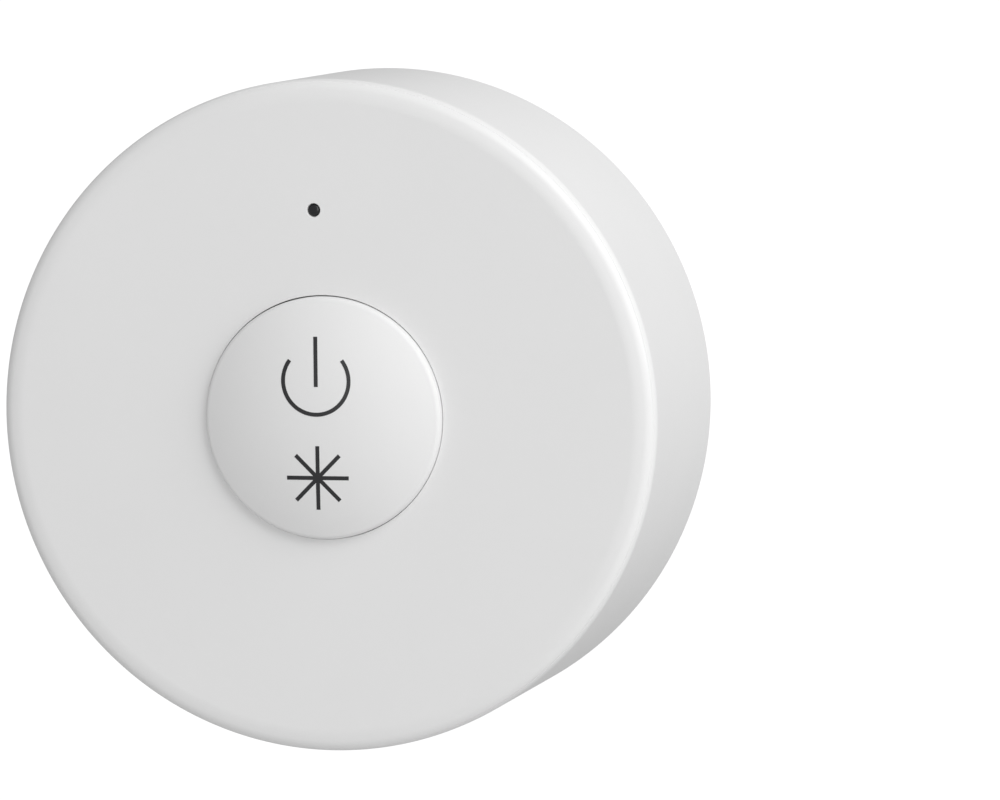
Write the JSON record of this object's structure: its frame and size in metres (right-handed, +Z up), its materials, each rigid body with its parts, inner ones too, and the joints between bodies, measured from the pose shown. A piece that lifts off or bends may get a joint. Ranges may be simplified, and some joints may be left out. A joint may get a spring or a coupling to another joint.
{
  "type": "round wireless dimmer button",
  "caption": "Round white wall-mounted wireless dimmer switch with a domed push button and an indicator pinhole, held by magnets on a wall plate.",
  "frame": {"origin": "centre of the adhesive pad's back face, which is on the wall", "axes": "+Z up, -Y out of the wall towards the user, +X to the right of a user who faces the button"},
  "size_m": [0.05, 0.0228, 0.05],
  "materials": {
    "shell_plastic": "fine satin white",
    "button_plastic": "smooth satin white",
    "back_plastic": "lightly textured white",
    "adhesive": "closed-cell foam",
    "steel": "rolled sheet",
    "magnet_nickel": "nickel plated",
    "screw_steel": "blackened",
    "cell_steel": "bright nickel steel",
    "contact_metal": "plated spring strip",
    "holder_plastic": "black",
    "plunger_plastic": "grey",
    "board_laminate": "solder mask",
    "module_laminate": "solder mask",
    "tinned_can": "tinned",
    "chip_resin": "moulded resin",
    "led_resin": "clear resin",
    "smoked_lens": "smoked"
  },
  "bodies": {
    "wall_mount": {"adhesive_pad": "adhesive", "wall_plate": "back_plastic", "steel_ring": "steel"},
    "puck": {"front_shell": "shell_plastic", "rear_cover": "back_plastic", "rear_screw_1": "screw_steel", "rear_screw_2": "screw_steel", "rear_screw_3": "screw_steel", "magnet_1": "magnet_nickel", "magnet_2": "magnet_nickel", "magnet_3": "magnet_nickel", "magnet_4": "magnet_nickel", "coin_cell": "cell_steel", "battery_holder": "holder_plastic", "battery_contact_positive": "contact_metal", "battery_contact_negative": "contact_metal", "circuit_board": "board_laminate", "tact_switch_body": "holder_plastic", "light_pipe": "smoked_lens", "indicator_led": "led_resin", "radio_module_board": "module_laminate", "radio_shield_can": "tinned_can", "microcontroller": "chip_resin", "crystal": "tinned_can", "buffer_capacitor": "chip_resin", "pairing_switch": "holder_plastic"},
    "button": {"button_cap": "button_plastic"},
    "switch_plunger": {"tact_switch_plunger": "plunger_plastic"},
    "door": {"battery_door": "back_plastic"},
    "pairing_pin": {"pairing_button": "plunger_plastic"}
  },
  "joints": [
    {"name": "pull_off_wall", "type": "slide", "parent": "wall_mount", "child": "puck", "axis": [0, -1, 0], "range_m": [0, 0.03]},
    {"name": "button_press", "type": "slide", "parent": "puck", "child": "button", "axis": [0, 1, 0], "range_m": [0, 0.0004], "stiffness_N_per_m": 4000, "springref_m": -0.0001},
    {"name": "switch_plunger_press", "type": "slide", "parent": "puck", "child": "switch_plunger", "axis": [0, 1, 0], "range_m": [0, 0.0004]},
    {"name": "battery_door_twist", "type": "hinge", "parent": "puck", "child": "door", "pos_m": [0, -0.0032, 0], "axis": [0, 1, 0], "range_deg": [0, 35]},
    {"name": "pairing_press", "type": "slide", "parent": "puck", "child": "pairing_pin", "axis": [0, -1, 0], "range_m": [0, 0.0003], "stiffness_N_per_m": 3000, "springref_m": -0.0001}
  ],
  "couplings": [
    {"joint": "switch_plunger_press", "follows": "button_press", "ratio": 1}
  ]
}
